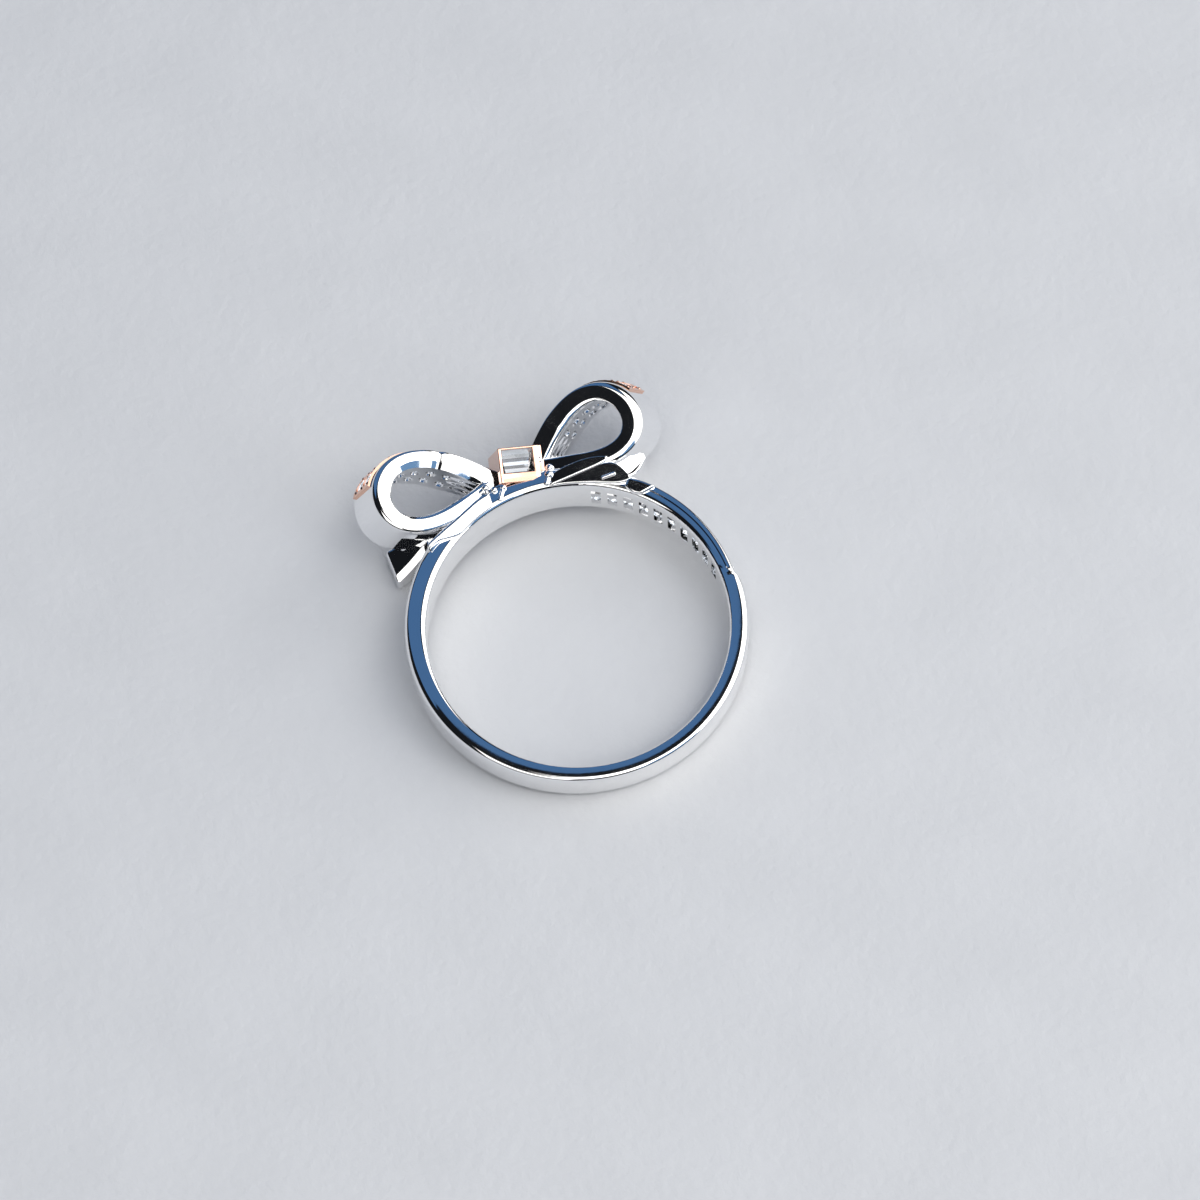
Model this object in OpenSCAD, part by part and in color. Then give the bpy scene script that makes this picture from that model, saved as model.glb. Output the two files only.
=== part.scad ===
// Bow ring, lying on its side as it rests on a table.
// Everything is built round the finger hole, with the bow towards +Y and the hole's axis along Z,
// and then tipped by rest_tilt onto the band's lower edge and the two tail tips.

/* [Band] */
// Radius of the finger hole
bore_r = 8.65; // [8:0.05:9.4]
// Band thickness opposite the bow
back_t = 0.95; // [0.8:0.05:1.2]
// Band thickness under the bow
front_t = 1.45; // [1.3:0.05:1.6]
// Band width opposite the bow
back_w = 2.2; // [2:0.1:2.6]
// Band width under the bow
front_w = 3.2; // [3:0.1:3.4]
// How far the rounding of the outer edge reaches in from the rim
edge_round = 0.5; // [0.3:0.05:0.6]
// Bevel on both edges of the finger hole
bore_bevel = 0.25; // [0.15:0.05:0.35]

/* [Stone row on the right shoulder] */
// Number of stones in the row
row_count = 10; // [6:1:10]
// Angle from the bow's centre to the first stone
row_start = 27.3; // [26:0.1:30]
// Angle from one stone to the next
row_step = 6.3; // [6.2:0.1:6.6]
// How far the section that holds the stones lies below the plain band
row_recess = 0.3; // [0.2:0.02:0.34]
// Rounding of that section's edges
section_round = 0.26; // [0.2:0.02:0.4]
// Length along the finger of the window behind each stone
window_w = 1.5; // [1:0.1:1.6]

/* [Small round stones] */
// Diameter across the girdle
stone_d = 0.92; // [0.85:0.01:0.94]
// Table width as a share of the diameter
table_share = 0.56; // [0.5:0.01:0.62]
// Gap between a stone and its seat
stone_gap = 0.04; // [0.03:0.01:0.05]

/* [Bow loops] */
// Height of the bow's middle above the centre of the finger hole
bow_rise = 10.6; // [10.5:0.05:10.9]
// Lean of the whole bow about its long axis, lower tail side outwards
bow_lean = 13; // [8:1:16]
// Angle by which each loop slants up from the tails
loop_slant = 8; // [4:1:12]
// Angle by which the left loop's walls lean outwards from the near rim to the far rim
left_sweep = 15; // [10:1:24]
// The same for the right loop
right_sweep = 19; // [10:1:24]
// Angle by which the left loop lifts away from the finger
left_lift = 7.5; // [6:0.5:12]
// The same for the right loop
right_lift = 10; // [8:0.5:12]
// Distance of each loop's point from the bow's middle
loop_start = 1.3; // [1.2:0.05:1.5]
// Length of the left loop along the middle of its ribbon
left_len = 7.25; // [6.8:0.05:7.4]
// The same for the right loop
right_len = 7; // [6.8:0.05:7.4]
// Fullness of each loop
loop_full = 2.77; // [2.5:0.01:2.9]
// Thickness of the ribbon
ribbon_t = 0.92; // [0.8:0.02:1]
// Width of the ribbon at the loops' ends
ribbon_w = 3.0; // [2.9:0.1:3.2]
// Extra thickness of the outer wall at the neck
neck_extra = 0.35; // [0.1:0.05:0.4]
// Width of the ribbon where it is gathered at the knot
gather_w = 2.1; // [1.9:0.1:2.4]

/* [Stone panels on the loops] */
// Width of the rose panel along the finger
panel_w = 2.14; // [2.1:0.02:2.2]
// Thickness of the rose panel
panel_t = 0.36; // [0.3:0.02:0.4]
// Height of the panel above the ribbon
panel_proud = 0.13; // [0.1:0.01:0.2]
// How far the panel lies from the middle of the ribbon, towards the far rim
panel_shift = 0.2; // [0:0.05:0.25]
// Stones in each of the two rows
panel_count = 6; // [4:1:6]
// Distance from one stone to the next along the ribbon
panel_pitch = 1.03; // [1.02:0.01:1.08]

/* [Tails] */
// Lowest level of the tail tips, below the middle of the band
tail_drop = 2.7; // [2.5:0.1:2.9]
// Reach of the left tail's tip from the middle of the bow
left_reach = 8.45; // [8.2:0.05:8.6]
// Reach of the right tail's tip, which is the shorter one
right_reach = 7.75; // [7.6:0.05:7.9]
// Lean of the tail roots' faces towards the finger hole
root_lean = 7; // [5:0.5:9]
// Rise of the tail roots' faces away from the knot
root_slant = 6.8; // [5:0.2:8]
// Distance of the roots' faces from the centre of the finger hole
root_face = 0.21; // [0.18:0.01:0.26]

/* [Knot] */
// Turn of the knot about the finger's direction, its right end towards the finger
knot_turn = 14; // [8:1:16]
// Lean of the knot, its near side towards the finger
knot_lean = 18; // [14:1:20]
// Turn of the knot about the direction away from the finger
knot_yaw = 9; // [4:1:10]
// Shift of the knot's middle to the right
knot_shift = 0.2; // [0:0.05:0.4]
// Height of the knot's middle above the centre of the finger hole
knot_rise = 11.1; // [10.9:0.05:11.3]
// Length of the knot along the bow
knot_len = 2.35; // [2.3:0.05:2.6]
// Height of the knot away from the finger
knot_h = 2.05; // [2:0.05:2.3]
// Depth of the knot along the finger
knot_depth = 3.8; // [3.6:0.1:4]
// Thickness of the knot's left wall
knot_wall_left = 0.18; // [0.15:0.01:0.25]
// Thickness of the knot's right wall
knot_wall_right = 0.34; // [0.3:0.02:0.4]
// Height of the rail below the knot's window
knot_rail = 0.55; // [0.5:0.05:0.7]
// Height of the thin rail above the knot's window
knot_top = 0.12; // [0.1:0.01:0.18]
// Free room between the knot's stone and its right wall
knot_free = 0.16; // [0.05:0.01:0.2]

/* [Hidden] */

silver = "silver";
rose_gold = "lightsalmon";
clear_stone = "aliceblue";

far = 20;
skin = 0.05;
outer_r = bore_r + (back_t + front_t) / 2;
outer_shift = (front_t - back_t) / 2;
mid_half_w = (back_w + front_w) / 4;
taper = atan((front_w - back_w) / 4 / outer_r);
room = knot_len - knot_wall_left - knot_wall_right;
room_middle = (knot_wall_left - knot_wall_right) / 2;

crown_h = 0.16 * stone_d;
pavilion_h = 0.43 * stone_d;
girdle_h = 0.03 * stone_d;
stone_sink = 0.2;
culet_r = 0.2;

// The tail tips and the back of the band carry the ring on the table.
tail_tip_v = 7.85;
contact_v = bore_r + back_t - 0.35;
contact_drop = back_w / 2;
rest_tilt = atan((tail_drop - contact_drop) / (contact_v + tail_tip_v));
rest_lift = contact_v * sin(rest_tilt) + contact_drop * cos(rest_tilt) + 0.0075;
bow_top = bow_rise + 3.275;
part_middle = (bow_top - (bore_r + back_t)) / 2;

// Outline of a loop along the middle of its ribbon: a teardrop with its point at the origin.
function drop_point(a) =
    [$len * (1 - cos(a)) / 2, loop_full * sin(a) * pow(sin(a / 2), 1.3)];
function drop_normal(a) =
    let (d = drop_point(a + 0.5) - drop_point(a - 0.5), n = norm(d))
    [-d[1] / n, d[0] / n];
// Outline shifted outwards by off.
function drop_shifted(a, off) = drop_point(a) + off * drop_normal(a);
// The same point as it lies in the bow's long plane. $len, $lift and $sweep belong to one side.
function lifted(p) = [
    loop_start + p[0] * cos($lift) - p[1] * sin($lift),
    p[0] * sin($lift) + p[1] * cos($lift)
];
// The point seen along the leaning walls.
function swept(p) = [lifted(p)[0] * cos($sweep), lifted(p)[1]];

// Distance run along the shifted outline, in a table from which the angle is read back.
run_step = 2;
function drop_runs(off, a, run) =
    a > 200 ? [] : concat([[run, a]], drop_runs(off, a + run_step,
        run + norm(drop_shifted(a + run_step, off) - drop_shifted(a, off))));
panel_from = 62;
$len = (left_len + right_len) / 2;
panel_runs = drop_runs(ribbon_t / 2, panel_from, 0);
panel_end_gap = 0.25;
panel_len = (panel_count - 1) * panel_pitch + stone_d + 2 * panel_end_gap;
panel_to = lookup(panel_len, panel_runs);
function panel_angle(i) =
    lookup(panel_end_gap + stone_d / 2 + i * panel_pitch, panel_runs);

// The near half of a band's rounding; mirrored for the half on the table.
module rounded_side(r, edge) {
    rotate([taper, 0, 0])
        translate([0, outer_shift, 0])
            rotate_extrude($fn = 180)
                polygon([
                    [0, -far / 4],
                    [r + 1, -far / 4],
                    [r + 1, mid_half_w - edge - 3],
                    [r, mid_half_w - edge],
                    [r - 0.35 * edge, mid_half_w - 0.35 * edge],
                    [r - edge, mid_half_w],
                    [0, mid_half_w]
                ]);
}

module both_sides() {
    intersection() {
        children();
        mirror([0, 0, 1]) children();
    }
}

module rounded_disc(r, edge) {
    intersection() {
        translate([0, outer_shift, 0])
            cylinder(r = r, h = far / 2, center = true, $fn = 180);
        both_sides() rounded_side(r, edge);
    }
}

// Part of a turn about the finger hole, clockwise from the bow, as a wedge to cut with.
module sector(from, to) {
    reach = 2 * far;
    mid = (from + to) / 2;
    linear_extrude(far / 2, center = true)
        polygon([
            [0, 0],
            [reach * sin(from), reach * cos(from)],
            [reach * sin(mid), reach * cos(mid)],
            [reach * sin(to), reach * cos(to)]
        ]);
}

module row_sector(extra) {
    sector(row_start - 5 - extra, row_start + (row_count - 1) * row_step + 4 + extra);
}

// The plain band, with a lower and tighter-edged part that holds the stone row.
module band() {
    difference() {
        rounded_disc(outer_r, edge_round);
        row_sector(0);
    }
    intersection() {
        rounded_disc(outer_r - row_recess, section_round);
        row_sector(1);
    }
}

module bore_cut() {
    cylinder(r = bore_r, h = far, center = true, $fn = 180);
    for (side = [0, 1])
        mirror([0, 0, side])
            rotate([taper, 0, 0])
                translate([0, 0, mid_half_w - bore_bevel - 1])
                    cylinder(r1 = bore_r - 1, r2 = bore_r + 2, h = 3, $fn = 180);
}

// Places a stone of the shoulder row: Z runs outwards, with the surface of the band at 0.
module on_shoulder(i) {
    a = row_start + i * row_step;
    surface = outer_r - row_recess + outer_shift * cos(a) + 0.1;
    rotate([0, 0, -a])
        translate([0, surface, 0])
            rotate([-90, 0, 0])
                children();
}

module round_stone() {
    r = stone_d / 2;
    translate([0, 0, -stone_sink])
        rotate_extrude($fn = 8)
            polygon([
                [0, -pavilion_h], [r * 0.08, -pavilion_h], [r, 0], [r, girdle_h],
                [r * table_share, girdle_h + crown_h], [0, girdle_h + crown_h]
            ]);
}

// Seat for a round stone: straight down to the girdle, then a cone to an open culet hole.
module stone_seat(depth) {
    r = stone_d / 2 + stone_gap;
    ledge = -stone_sink - stone_gap;
    rotate_extrude($fn = 32)
        polygon([
            [0, -depth], [culet_r, -depth], [culet_r, ledge - pavilion_h], [r, ledge], [r, 0.8], [0, 0.8]
        ]);
}

module shoulder_seat(i) {
    on_shoulder(i) stone_seat(1.2);
    rotate([0, 0, -(row_start + i * row_step)])
        translate([0, bore_r, -0.15])
            cube([0.55, 0.8, window_w], center = true);
}

// The bow's own frame: X along the bow, Y away from the finger, Z up along the finger.
module in_bow() {
    translate([0, bow_rise, 0])
        rotate([bow_lean, 0, 0])
            children();
}

module on_left() {
    $len = left_len;
    $lift = left_lift;
    $sweep = left_sweep;
    mirror([1, 0, 0])
        children();
}

module on_right() {
    $len = right_len;
    $lift = right_lift;
    $sweep = right_sweep;
    children();
}

// The frame in which a loop's two rims lie level.
module in_rims() {
    in_bow()
        rotate([0, -loop_slant, 0])
            children();
}

// The frame in which a loop's leaning walls stand upright.
module in_walls() {
    in_rims()
        rotate([0, -$sweep, 0])
            children();
}

module wall_block(points) {
    in_walls()
        linear_extrude(far / 2, center = true)
            polygon([for (p = points) swept(p)]);
}

function outer_outline() = [for (a = [12 : 6 : 348]) drop_shifted(a, ribbon_t / 2)];
function inner_outline() =
    [for (a = [48 : 6 : 312]) drop_shifted(a, -ribbon_t / 2 - neck_extra * max(0, (90 - a) / 50))];

// A strip of the ribbon between two shifts from its middle line.
function ribbon_strip(low, high, from, to) =
    let (steps = 16, angles = [for (i = [0 : steps]) from + (to - from) * i / steps])
    concat(
        [for (a = angles) drop_shifted(a, high)],
        [for (i = [0 : steps]) drop_shifted(angles[steps - i], low)]
    );

// The ribbon seen from above the bow: gathered at the knot and full width at the loop's end.
module loop_fan() {
    spread = loop_start + 0.4 * $len;
    reach = loop_start + $len + 3;
    in_rims()
        rotate([90, 0, 0])
            linear_extrude(far, center = true)
                polygon([
                    [-1, -gather_w / 2], [loop_start, -gather_w / 2], [spread, -ribbon_w / 2],
                    [reach, -ribbon_w / 2], [reach, ribbon_w / 2], [spread, ribbon_w / 2],
                    [loop_start, gather_w / 2], [-1, gather_w / 2]
                ]);
}

module panel_slab(w) {
    in_rims()
        translate([0, 0, -panel_shift])
            cube([far * 2, far * 2, w], center = true);
}

// Places a stone of a loop's panel: Z runs outwards from the panel's surface.
module on_panel(i, side) {
    a = panel_angle(i);
    t = side * panel_pitch / 2 - panel_shift;
    p = lifted(drop_shifted(a, ribbon_t / 2 + panel_proud));
    n = drop_normal(a);
    turn = atan2(n[1], n[0]) + $lift;
    rise = atan(cos(turn) * tan($sweep));
    in_rims()
        translate([p[0] - t * sin($sweep), p[1], t * cos($sweep)])
            rotate([0, 90 - rise, turn])
                children();
}

module panel_seats() {
    for (i = [0 : panel_count - 1])
        for (side = [-1, 1])
            on_panel(i, side)
                stone_seat(ribbon_t + 0.6);
}

module loop() {
    difference() {
        intersection() {
            wall_block(outer_outline());
            loop_fan();
        }
        wall_block(inner_outline());
        intersection() {
            wall_block(ribbon_strip(ribbon_t / 2 + panel_proud - panel_t - skin, ribbon_t,
                panel_from, panel_to));
            panel_slab(panel_w + 2 * skin);
        }
        panel_seats();
    }
}

module panel() {
    end_gap = 0.5;
    difference() {
        intersection() {
            wall_block(ribbon_strip(ribbon_t / 2 + panel_proud - panel_t, ribbon_t / 2 + panel_proud,
                panel_from + end_gap, panel_to - end_gap));
            panel_slab(panel_w);
        }
        panel_seats();
    }
}

module panel_stones() {
    for (i = [0 : panel_count - 1])
        for (side = [-1, 1])
            on_panel(i, side)
                round_stone();
}

// A tail: a ribbon end that follows the band, flares away from it and drops to the table.
module tail(outline, tip, top, drop) {
    intersection() {
        linear_extrude(far, center = true)
            polygon(outline);
        rotate([90, 0, 0])
            linear_extrude(far * 2, center = true)
                polygon([
                    [1.6, 1], [6.3, -0.1], [tip + 0.1, top], [tip - 0.25, -drop], [1.6, -1.1]
                ]);
    }
}

module left_tail() {
    tip = left_reach;
    mirror([1, 0, 0])
        tail([
            [1.6, 9.7], [3.5, 9.25], [5, 8.75], [6.3, 8.2], [7.4, 7.92], [tip, tail_tip_v],
            [tip + 0.05, 9.65], [7.4, 9.5], [6.3, 9.6], [5, 9.9], [3.5, 10.2], [1.6, 10.5]
        ], tip, -1.4, tail_drop);
}

module right_tail() {
    tip = right_reach;
    lowest_v = 8.95;
    tail([
        [1.6, 9.7], [3.5, 9.25], [5, 8.7], [5.9, 8.3], [6.6, 8.35], [tip - 0.2, lowest_v],
        [tip, 9.35], [tip - 0.1, 9.75], [7.2, 9.95], [6.6, 9.75], [5, 9.9], [3.5, 10.2], [1.6, 10.5]
    ], tip, 0.2, tail_drop + (lowest_v - tail_tip_v) * tan(rest_tilt));
}

// The root of a tail: a folded plate over the near face of the band, which tilts up towards the loop.
module tail_root(outline) {
    rotate([root_lean, -root_slant, 0])
        translate([0, 0, root_face - 0.7])
            linear_extrude(0.7)
                polygon(outline);
}

module tail_roots() {
    mirror([1, 0, 0])
        tail_root([
            [2.1, 8.65], [2.65, 8.5], [3.4, 8.25], [4.5, 7.75], [5.2, 7.7], [5.7, 7.7], [6.5, 7.35],
            [6.7, 7.55], [6.4, 7.8], [5.6, 8.2], [4.5, 8.7], [3.4, 9.15], [2.65, 9.5], [2.1, 9.55]
        ]);
    tail_root([
        [1.5, 8.75], [2.35, 8.55], [3.15, 8.3], [4.15, 7.9], [5.3, 7.4], [6.1, 7.3], [6.35, 7.6],
        [6.1, 8.1], [5.8, 8.9], [4.55, 8.95], [3.25, 8.9], [1.5, 9]
    ]);
}

// A round rod from p to q.
module rod(p, q, r) {
    d = q - p;
    translate(p)
        rotate([0, acos(d[2] / norm(d)), atan2(d[1], d[0])])
            cylinder(r = r, h = norm(d), $fn = 24);
}

// Small posts at the foot of the knot, on the upper side of the band.
module knot_posts() {
    rod([-0.95, 9.55, 1.5], [-1.3, 8.98, 1.5], 0.2);
    rod([1.75, 9.9, 1.5], [1.5, 9.0, 1.5], 0.2);
}

// Round folds of the gathered ribbon that close the corner between each loop and the band.
module gather_folds() {
    for (fold = [[-1.57, 9.6, 0.22], [-2, 9.85, 0.22], [1.95, 9.8, 0.24], [1.55, 10.5, 0.2]])
        rod([fold[0], fold[1], 1.4], [fold[0], fold[1] + 0.55, -1], fold[2]);
}

module in_knot() {
    translate([knot_shift, knot_rise, 0])
        rotate([0, 0, -knot_turn])
            rotate([knot_lean, 0, 0])
                rotate([0, knot_yaw, 0])
                    children();
}

// The knot reaches further towards the near side, where it stands over the edge of the band.
module knot_block(grow) {
    in_knot()
        translate([0, 0, 0.22])
            cube([knot_len + 2 * grow, knot_h + 2 * grow, knot_depth + 2 * grow], center = true);
}

module ring_body() {
    color(silver)
        difference() {
            union() {
                band();
                on_left() loop();
                on_right() loop();
                tail_roots();
                left_tail();
                right_tail();
                knot_posts();
                gather_folds();
            }
            knot_block(skin);
            bore_cut();
            for (i = [0 : row_count - 1])
                shoulder_seat(i);
        }
}

module knot_frame() {
    window_h = knot_h - knot_rail - knot_top;
    color(rose_gold)
        difference() {
            knot_block(0);
            in_knot()
                translate([room_middle, -knot_h / 2 + knot_rail + window_h / 2, 0])
                    cube([room, window_h, knot_depth + 2], center = true);
            in_knot()
                translate([room_middle, knot_rail / 2 + 0.5, 0.22])
                    cube([room, knot_h, knot_depth - 0.6], center = true);
            cylinder(r = bore_r + 0.25, h = far, center = true, $fn = 180);
        }
}

// A rectangular step-cut stone: five steps down from the girdle and one bevel up to the table.
module knot_stone() {
    long = room - stone_gap - knot_free;
    depth = knot_depth - 0.6 - 2 * stone_gap;
    girdle = 0.62;
    steps = [[0, 0], [0.08, 0.2], [0.18, 0.4], [0.3, 0.6], [0.44, 0.78], [0.62, 0.98]];
    color(clear_stone)
        in_knot()
            translate([room_middle + (stone_gap - knot_free) / 2, girdle, 0.22])
                rotate([-90, 0, 0]) {
                    stepped_stone(long, depth, 0.22, 0.28);
                    mirror([0, 0, 1])
                        for (i = [0 : len(steps) - 2])
                            hull() {
                                translate([0, 0, steps[i][1]])
                                    cube([long - 2 * steps[i][0], depth - 2 * steps[i][0], 0.001], center = true);
                                translate([0, 0, steps[i + 1][1]])
                                    cube([long - 2 * steps[i + 1][0], depth - 2 * steps[i + 1][0], 0.001],
                                        center = true);
                            }
                }
}

module stepped_stone(len, depth, inset, h) {
    hull() {
        cube([len, depth, 0.001], center = true);
        translate([0, 0, h])
            cube([len - 2 * inset, depth - 2 * inset, 0.001], center = true);
    }
}

module panel_left() {
    color(rose_gold)
        on_left() panel();
}

module panel_right() {
    color(rose_gold)
        on_right() panel();
}

module panel_stones_left() {
    color(clear_stone)
        on_left() panel_stones();
}

module panel_stones_right() {
    color(clear_stone)
        on_right() panel_stones();
}

module shoulder_stones() {
    color(clear_stone)
        for (i = [0 : row_count - 1])
            on_shoulder(i) round_stone();
}

// Tips the upright ring down onto the table.
module at_rest() {
    translate([0, -part_middle, rest_lift])
        rotate([rest_tilt, 0, 0])
            children();
}

at_rest() ring_body();
at_rest() knot_frame();
at_rest() knot_stone();
at_rest() panel_left();
at_rest() panel_right();
at_rest() panel_stones_left();
at_rest() panel_stones_right();
at_rest() shoulder_stones();
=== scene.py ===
import itertools
import math

import bmesh
import bpy
from mathutils import Matrix, Vector


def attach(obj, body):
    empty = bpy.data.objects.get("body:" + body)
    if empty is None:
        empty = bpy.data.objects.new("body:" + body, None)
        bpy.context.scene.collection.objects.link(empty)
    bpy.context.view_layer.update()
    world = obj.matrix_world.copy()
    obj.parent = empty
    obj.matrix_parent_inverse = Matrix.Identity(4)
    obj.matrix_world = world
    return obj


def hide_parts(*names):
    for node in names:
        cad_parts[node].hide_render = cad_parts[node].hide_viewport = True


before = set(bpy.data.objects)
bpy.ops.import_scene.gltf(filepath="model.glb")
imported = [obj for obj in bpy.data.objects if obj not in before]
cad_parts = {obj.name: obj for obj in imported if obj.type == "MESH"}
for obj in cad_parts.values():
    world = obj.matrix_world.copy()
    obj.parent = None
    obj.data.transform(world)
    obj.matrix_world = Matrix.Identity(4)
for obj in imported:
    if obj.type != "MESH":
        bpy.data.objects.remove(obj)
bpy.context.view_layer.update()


# The table. A plain pale matt sheet, such as painted board, on which the ring lies.
# It is only there to carry the ring and its shadow.


class Wire:
    """One output of a node. Arithmetic on it adds Math nodes."""

    def __init__(self, bench, socket):
        self.bench, self.socket = bench, socket

    def other(self, name):
        return Wire(self.bench, self.socket.node.outputs[name])

    def math(self, operation, *values):
        return self.bench.add("ShaderNodeMath", dict(enumerate(values)), operation=operation)

    def __add__(self, value):
        return self.math("ADD", self, value)

    def __radd__(self, value):
        return self.math("ADD", value, self)

    def __sub__(self, value):
        return self.math("SUBTRACT", self, value)

    def __rsub__(self, value):
        return self.math("SUBTRACT", value, self)

    def __mul__(self, value):
        return self.math("MULTIPLY", self, value)

    def __rmul__(self, value):
        return self.math("MULTIPLY", value, self)

    def __truediv__(self, value):
        return self.math("DIVIDE", self, value)

    def __rtruediv__(self, value):
        return self.math("DIVIDE", value, self)

    def __pow__(self, value):
        return self.math("POWER", self, value)

    def __gt__(self, value):
        return self.math("GREATER_THAN", self, value)


class Bench:
    """A node tree being wired: add() puts in one node and gives back its output."""

    def __init__(self, tree):
        self.tree = tree

    def add(self, kind, sockets=None, out=0, **settings):
        node = self.tree.nodes.new(kind)
        for name, value in settings.items():
            setattr(node, name, value)
        for key, value in (sockets or {}).items():
            if isinstance(value, Wire):
                self.tree.links.new(value.socket, node.inputs[key])
            else:
                node.inputs[key].default_value = value
        return Wire(self, node.outputs[out])

    def noise(self, place, scale, detail=2.0, roughness=0.5):
        return self.add("ShaderNodeTexNoise",
            {"Vector": place, "Scale": scale, "Detail": detail, "Roughness": roughness})

    def stretched(self, place, factors):
        return self.add("ShaderNodeVectorMath", {0: place, 1: factors}, operation="MULTIPLY")

    def blend(self, share, first, second):
        return self.add("ShaderNodeMix", {0: share, 6: (*first, 1), 7: (*second, 1)}, out=2,
            data_type="RGBA")


def new_finish(name):
    """A material with nodes, its bench, its shader and the point being shaded."""
    material = bpy.data.materials.new(name)
    material.use_nodes = True
    bench = Bench(material.node_tree)
    shader = material.node_tree.nodes["Principled BSDF"]
    place = bench.add("ShaderNodeTexCoord", out="Object")
    return material, bench, shader, place


def feed(shader, **inputs):
    """Links wires to the shader and sets plain numbers on its own sockets."""
    for name, value in inputs.items():
        socket = shader.inputs[name.replace("_", " ")]
        if isinstance(value, Wire):
            value.bench.tree.links.new(value.socket, socket)
        else:
            socket.default_value = value


board, bench, shader, place = new_finish("pale_board")
mottle = bench.noise(place, 160, 4)
feed(shader, Base_Color=bench.blend(mottle, (0.51, 0.52, 0.54), (0.57, 0.58, 0.60)),
    Roughness=0.72 + mottle * 0.12, Specular_IOR_Level=0.3,
    Normal=bench.add("ShaderNodeBump",
        {"Strength": 0.25, "Distance": 0.0002, "Height": bench.noise(place, 1400, 3)}))

table_half = 3
table = bpy.data.objects.new("table", bpy.data.meshes.new("table"))
table.data.from_pydata([(x * table_half, y * table_half, 0)
    for x, y in ((-1, -1), (1, -1), (1, 1), (-1, 1))], [], [(0, 1, 2, 3)])
table.data.materials.append(board)
bpy.context.scene.collection.objects.link(table)


# The camera. It stands above the ring, on the side away from the bow and a little to the left.
# Like all that follows it is given in millimetres in the ring's own frame, whose origin is the
# middle of the finger hole, with Y towards the bow and Z along the finger. on_table lays it down.

rest_tilt = math.radians(5.34545)
part_middle = 2.1375
rest_lift = 1.96445
on_table = (Matrix.Scale(0.001, 4) @ Matrix.Translation((0, -part_middle, rest_lift))
    @ Matrix.Rotation(rest_tilt, 4, "X"))

view_lean, view_turn, view_roll = math.radians(24.5), math.radians(21.15), math.radians(4)
view_distance = 400
side = Vector((math.cos(view_turn), -math.sin(view_turn), 0))
ahead = Vector((math.sin(view_turn), math.cos(view_turn), 0))
right = math.cos(view_roll) * side + math.sin(view_roll) * ahead
level = math.cos(view_roll) * ahead - math.sin(view_roll) * side
above = math.cos(view_lean) * level + math.sin(view_lean) * Vector((0, 0, 1))
towards = math.cos(view_lean) * Vector((0, 0, 1)) - math.sin(view_lean) * level
picture_right = math.cos(view_roll) * right - math.sin(view_roll) * above
picture_up = math.sin(view_roll) * right + math.cos(view_roll) * above
aim_right, aim_up = 1.211, 1.931
aim = aim_right * picture_right + aim_up * picture_up

camera = bpy.data.objects.new("camera", bpy.data.cameras.new("camera"))
camera.data.lens, camera.data.sensor_width = 210, 36
camera.data.clip_start, camera.data.clip_end = 0.01, 20
turned_axes = [(on_table.to_3x3() @ axis).normalized()
    for axis in (picture_right, picture_up, towards)]
camera.matrix_world = (Matrix.Translation(on_table @ (aim + view_distance * towards))
    @ Matrix(turned_axes).transposed().to_4x4())
bpy.context.scene.collection.objects.link(camera)
bpy.context.scene.camera = camera


# The light. Large soft panels: white ones at the right, above, in front and at the left, a blue
# one beyond the bow and a small one in front, and a broad one that only the table needs.


def hang_panel(name, direction, size, colour, power, level=(1, 0, 0), distance=0.6, in_gloss=True):
    """A rectangular light in that direction from the ring, its first side along level."""
    light = bpy.data.lights.new(name, "AREA")
    light.shape, light.size, light.size_y = "RECTANGLE", size[0], size[1]
    light.color, light.energy = colour, power
    panel = bpy.data.objects.new(name, light)
    away = Vector(direction).normalized()
    first = (Vector(level) - Vector(level).dot(away) * away).normalized()
    panel.matrix_world = (Matrix.Translation(away * distance)
        @ Matrix((first, away.cross(first), away)).transposed().to_4x4())
    panel.visible_camera, panel.visible_glossy = False, in_gloss
    bpy.context.scene.collection.objects.link(panel)


warm_white, plain_white = (1.0, 0.985, 0.96), (1.0, 1.0, 1.0)
deep_blue, pale_blue = (0.18, 0.46, 1.0), (0.30, 0.58, 1.0)
hang_panel("white_side", (0.84, -0.17, 0.52), (0.80, 0.80), warm_white, 4.1,
    level=(0.42, 0.88, -0.23))
hang_panel("white_above", (0.326, -0.284, 0.902), (0.42, 0.55), warm_white, 1.3)
hang_panel("white_front", (-0.03, -0.56, 0.83), (0.27, 0.50), warm_white, 0.76)
hang_panel("white_left", (-0.59, -0.58, 0.56), (0.42, 0.37), warm_white, 0.74,
    level=(0.72, -0.70, 0.0))
hang_panel("blue_back", (-0.15, 0.675, 0.717), (0.94, 0.72), deep_blue, 0.62)
hang_panel("blue_front", (0.40, -0.76, 0.50), (0.36, 0.30), pale_blue, 0.165)
hang_panel("fill_above", (0.0, -0.1, 1.0), (1.2, 1.2), plain_white, 4.2, distance=1.2,
    in_gloss=False)

world = bpy.data.worlds.new("room")
world.use_nodes = True
world.node_tree.nodes["Background"].inputs["Color"].default_value = (0.008, 0.009, 0.011, 1)
bpy.context.scene.world = world
bpy.context.scene.view_settings.view_transform = "Standard"


# The band. Solid silver, cast and polished: 0.95 mm thick and 2.2 mm wide at the back, 1.45 mm
# and 3.2 mm under the bow. The part with the stone row lies 0.3 mm lower than the rest, and its
# outer edges stand up as a fine lip. Angles along the band are counted from the bow to the right.
# The band shown is thinner by skin_t and narrower by skin_w than the solid, so it stays inside it.

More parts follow.
